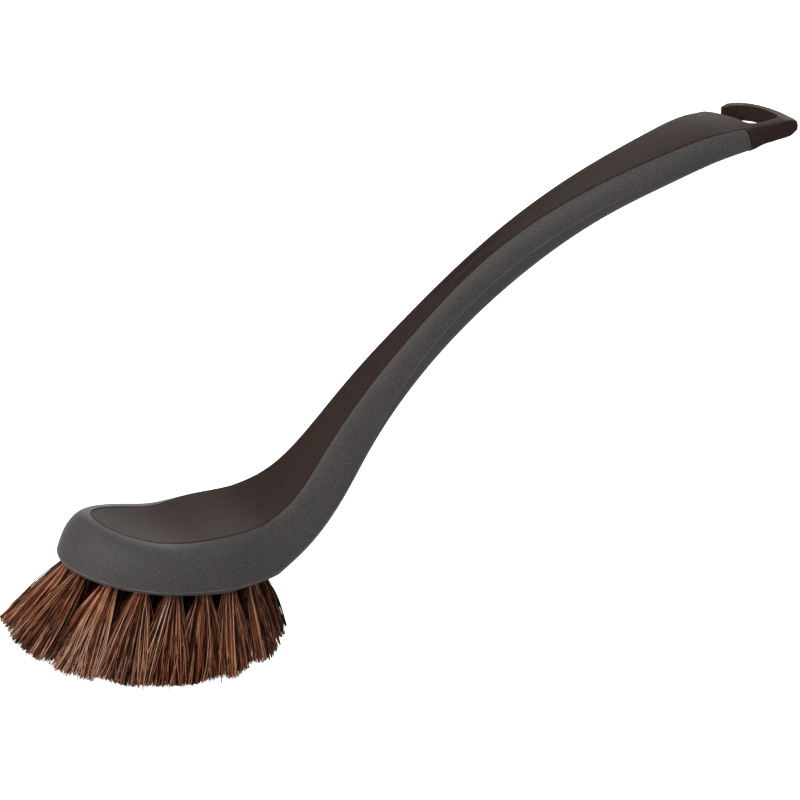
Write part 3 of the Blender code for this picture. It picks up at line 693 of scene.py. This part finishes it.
def tuft_fibres(rng, tuft, field_middle, surface, outer):
    """Centre lines, thicknesses and tones of a tuft's fibres."""
    root, tip, root_radius, tip_radius = tuft
    length, axis, away, along = tuft_axes(tuft, field_middle)
    count = FIBRES_PER_TUFT
    order = np.arange(count) + 0.5
    ring = np.sqrt(order / count)
    angle = order * math.pi * (3 - math.sqrt(5)) + rng.uniform(0, 2 * math.pi)
    disc = np.stack((np.cos(angle) * ring, np.sin(angle) * ring), axis=1)
    start = disc * (root_radius - FIBRE_RADIUS)

    turn = rng.uniform(0, 2 * math.pi, CLUMPS_PER_TUFT)
    reach = np.sqrt(rng.uniform(*CLUMP_REACH, CLUMPS_PER_TUFT))
    clumps = np.stack((np.cos(turn) * reach, np.sin(turn) * reach), axis=1)
    clump = np.linalg.norm(disc[:, None] - clumps[None], axis=2).argmin(1)

    loose = disc + rng.normal(0, LOOSENESS, (count, 2))
    spread = np.linalg.norm(loose, axis=1, keepdims=True)
    loose *= np.minimum(spread, LOOSE_REACH) / spread
    end = (loose + (clumps[clump] - loose) * CLUMP_PULL) * tip_radius * TIP_SPREAD
    if outer:
        room = SIDE_ROOM + HEEL_ROOM * max(away[0], 0.0) ** 2 + NOSE_ROOM * max(-away[0], 0.0) ** 2
        end[:, 0] = np.where(end[:, 0] > 0, end[:, 0] * room, end[:, 0] * INWARD_ROOM)
    strays = rng.choice(count, STRAYS_PER_TUFT, replace=False)
    if root[1] < field_middle[1]:
        sway = rng.choice((-1, 1), STRAYS_PER_TUFT) * rng.uniform(*STRAY_SWAY, STRAYS_PER_TUFT)
        calm = CALM_SWAY if abs(root[0] - field_middle[0]) > CALM_FROM else 1.0
        end[strays, 1] += sway * tip_radius * calm
    tips = tip + np.outer(end[:, 0], away) + np.outer(end[:, 1], along)
    left = trimmed(root, tips, surface) * (1 + rng.normal(0, CLUMP_TRIM, CLUMPS_PER_TUFT))[clump]
    left *= np.clip(rng.normal(1.0, FIBRE_TRIM, count), *FIBRE_TRIM_LIMITS)
    short = rng.uniform(0, 1, count) < SHORT_SHARE
    left[short] *= rng.uniform(*SHORT_LENGTHS, short.sum())

    wave_size = rng.uniform(*WAVE_SIZES, count)
    wave_turns = rng.uniform(*WAVE_TURNS, count)
    wave_start = rng.uniform(0, 2 * math.pi, count)
    wave_angle = rng.uniform(0, 2 * math.pi, count)
    bow = np.clip(rng.normal(0, BOW, count), -BOW_LIMIT, BOW_LIMIT)
    steps = np.linspace(0, 1, FIBRE_STEPS + 1)
    lines = np.zeros((count, FIBRE_STEPS + 1, 3))
    for k, step in enumerate(steps):
        at = left * step
        free = np.clip((at - STRAIGHT_SHARE) / (1 - STRAIGHT_SHARE), 0.0, None)
        wave = wave_size * np.sin(wave_turns * 2 * math.pi * free + wave_start)
        wave *= np.minimum(free * WAVE_GROWTH, 1.0)
        wave += bow * 4 * free * (1 - free)
        aside = start + (end - start) * free[:, None]
        aside += np.stack((np.cos(wave_angle), np.sin(wave_angle)), axis=1) * wave[:, None]
        lines[:, k] = root + np.outer(at * length, axis) + aside @ np.array((away, along))

    # Painted light: tufts nearer the nose are painted lighter and those nearer the heel darker; each tuft's
    # tone also differs at random
    forward = root[0] - field_middle[0]
    light = MIDDLE_LIGHT - NOSE_LIGHT * forward + rng.normal(0, TUFT_LIGHT_SPREAD)
    tone = rng.beta(*TONE_SHAPE, count) + light + rng.normal(0, CLUMP_TONE, CLUMPS_PER_TUFT)[clump]
    tone = np.minimum(tone, COMMON_TONE_TOP)
    pale = rng.choice(count, PALE_PER_TUFT, replace=False)
    tone[pale] = rng.uniform(*PALE_TONES, PALE_PER_TUFT)
    tone[strays] = rng.uniform(*STRAY_TONES, STRAYS_PER_TUFT)
    thick = FIBRE_RADIUS * np.clip(rng.normal(1.0, THICKNESS_SPREAD, count), *THICKNESS_LIMITS)
    return lines, thick, np.clip(tone, 0.0, 1.0), steps


def make_tuft(number, material, frames, surface):
    """One tuft as a closed fibre mesh for each bristle."""
    rng = np.random.default_rng(SEED + number)
    field_middle = np.mean([row[0] for row in frames[:OUTER_TUFTS]], axis=0)
    outer = number <= OUTER_TUFTS
    lines, thick, tone, steps = tuft_fibres(rng, frames[number - 1], field_middle, surface, outer)
    count = len(lines)
    levels = FIBRE_STEPS + 1
    forward = np.gradient(lines, axis=1)
    forward /= np.linalg.norm(forward, axis=2, keepdims=True)
    across = np.cross(forward, np.array(FIBRE_TURN))
    across /= np.linalg.norm(across, axis=2, keepdims=True)
    other = np.cross(forward, across)
    angles = np.arange(FIBRE_SIDES) * 2 * math.pi / FIBRE_SIDES
    taper = 1 - (1 - FIBRE_TIP_SHARE) * steps**2
    radius = thick[:, None] * taper[None]
    rings = lines[:, :, None] + radius[:, :, None, None] * (
        across[:, :, None] * np.cos(angles)[:, None] + other[:, :, None] * np.sin(angles)[:, None]
    )
    points = rings.reshape(-1, 3)
    faces = []
    chart = []
    for i in range(count):
        first = i * levels * FIBRE_SIDES
        for k in range(FIBRE_STEPS):
            low = first + k * FIBRE_SIDES
            for j in range(FIBRE_SIDES):
                after = (j + 1) % FIBRE_SIDES
                faces.append((low + j, low + after, low + FIBRE_SIDES + after, low + FIBRE_SIDES + j))
                chart.append((steps[k], steps[k], steps[k + 1], steps[k + 1]))
        last = first + FIBRE_STEPS * FIBRE_SIDES
        faces.append(tuple(last + j for j in range(FIBRE_SIDES)))
        chart.append((1.0,) * FIBRE_SIDES)
        faces.append(tuple(first + j for j in reversed(range(FIBRE_SIDES))))
        chart.append((0.0,) * FIBRE_SIDES)
    mesh = bpy.data.meshes.new(f"fibres_{number:02d}")
    mesh.from_pydata(points.tolist(), [], faces)
    faces_each = FIBRE_STEPS * FIBRE_SIDES + 2
    places = np.array(chart).reshape(-1)
    # Painted shade: each fibre's tone is darkened towards its root, most in the inner tufts
    root_shade, full_at = OUTER_ROOT_SHADE if outer else INNER_ROOT_SHADE
    tones = np.repeat(tone, faces_each * FIBRE_SIDES)
    tones *= root_shade + (1 - root_shade) * ease(places / full_at)
    layer = mesh.uv_layers.new(name="fibre")
    values = np.stack((tones, places), axis=1)
    layer.data.foreach_set("uv", values.astype(np.float32).ravel())
    mesh.shade_smooth()
    piece = bpy.data.objects.new(f"fibres_{number:02d}", mesh)
    bpy.context.scene.collection.objects.link(piece)
    finish_piece(piece, material, [f"tuft_{number:02d}"])


# Studio


def make_stage():
    bpy.ops.mesh.primitive_plane_add(size=FLOOR_SIZE, location=(0, 0, -FLOOR_DROP))
    floor = bpy.context.object
    floor.name = "floor"
    material, _, _, shader = new_material("pale_floor")
    shader.inputs["Base Color"].default_value = (0.9, 0.9, 0.9, 1.0)
    shader.inputs["Emission Color"].default_value = (1.0, 1.0, 1.0, 1.0)
    shader.inputs["Emission Strength"].default_value = 1.0
    floor.data.materials.append(material)
    floor.visible_diffuse = False
    floor.visible_glossy = False
    deselect_all()
    bpy.ops.mesh.primitive_uv_sphere_add(segments=48, ring_count=24, radius=BACKDROP_RADIUS)
    dome = bpy.context.object
    dome.name = "backdrop"
    bpy.ops.object.shade_smooth()
    dome.data.materials.append(material)
    dome.visible_diffuse = False
    dome.visible_glossy = False
    dome.visible_shadow = False
    dome.visible_transmission = False


def make_sky():
    world = bpy.data.worlds.new("studio")
    bpy.context.scene.world = world
    world.use_nodes = True
    nodes = world.node_tree.nodes
    links = world.node_tree.links
    direction = nodes.new("ShaderNodeTexCoord").outputs["Generated"]
    split = nodes.new("ShaderNodeSeparateXYZ")
    links.new(direction, split.inputs["Vector"])
    height = nodes.new("ShaderNodeMapRange")
    height.inputs["From Min"].default_value = -1.0
    height.inputs["From Max"].default_value = 1.0
    links.new(split.outputs["Z"], height.inputs["Value"])
    light = ramp(nodes, links, height.outputs["Result"], SKY_STEPS)
    background = nodes["Background"]
    links.new(light, background.inputs["Color"])
    background.inputs["Strength"].default_value = 1.0


def add_light(name, place, target, size, power, colour):
    data = bpy.data.lights.new(name, "AREA")
    data.shape = "RECTANGLE"
    data.size, data.size_y = size
    data.energy = power
    data.color = colour
    light = bpy.data.objects.new(name, data)
    bpy.context.scene.collection.objects.link(light)
    light.location = place
    aim = (Vector(target) - Vector(place)).to_track_quat("-Z", "Y")
    light.rotation_euler = aim.to_euler()
    light.visible_camera = False


def make_camera():
    back = CAMERA_BACK.normalized()
    up = back.cross(CAMERA_RIGHT.normalized()).normalized()
    right = up.cross(back).normalized()
    data = bpy.data.cameras.new("camera")
    data.lens = CAMERA_LENS
    data.sensor_width = SENSOR_WIDTH
    data.clip_start = 0.01
    data.clip_end = 20.0
    camera = bpy.data.objects.new("camera", data)
    bpy.context.scene.collection.objects.link(camera)
    camera.location = AIM_POINT + CAMERA_OFFSET
    rows = ((right.x, up.x, back.x), (right.y, up.y, back.y), (right.z, up.z, back.z))
    camera.rotation_euler = Matrix(rows).to_euler()
    bpy.context.scene.camera = camera


def main():
    hard_plastic = make_hard_plastic()
    soft_rubber = make_soft_rubber()
    fibre = make_natural_fibre()
    steel = make_anchor_steel()
    make_core(hard_plastic)
    make_grip(soft_rubber)
    frames = [tuft_frame(number) for number in range(1, TUFT_COUNT + 1)]
    surface = trim_surface(frames)
    for number in range(1, TUFT_COUNT + 1):
        make_tuft(number, fibre, frames, surface)
        anchor = frame["nodes"][f"anchor_{number:02d}"]
        anchor.data.materials.clear()
        anchor.data.materials.append(steel)
    make_stage()
    make_sky()
    for light in LIGHTS:
        add_light(*light)
    make_camera()
    bpy.context.scene.view_settings.view_transform = "Standard"


main()
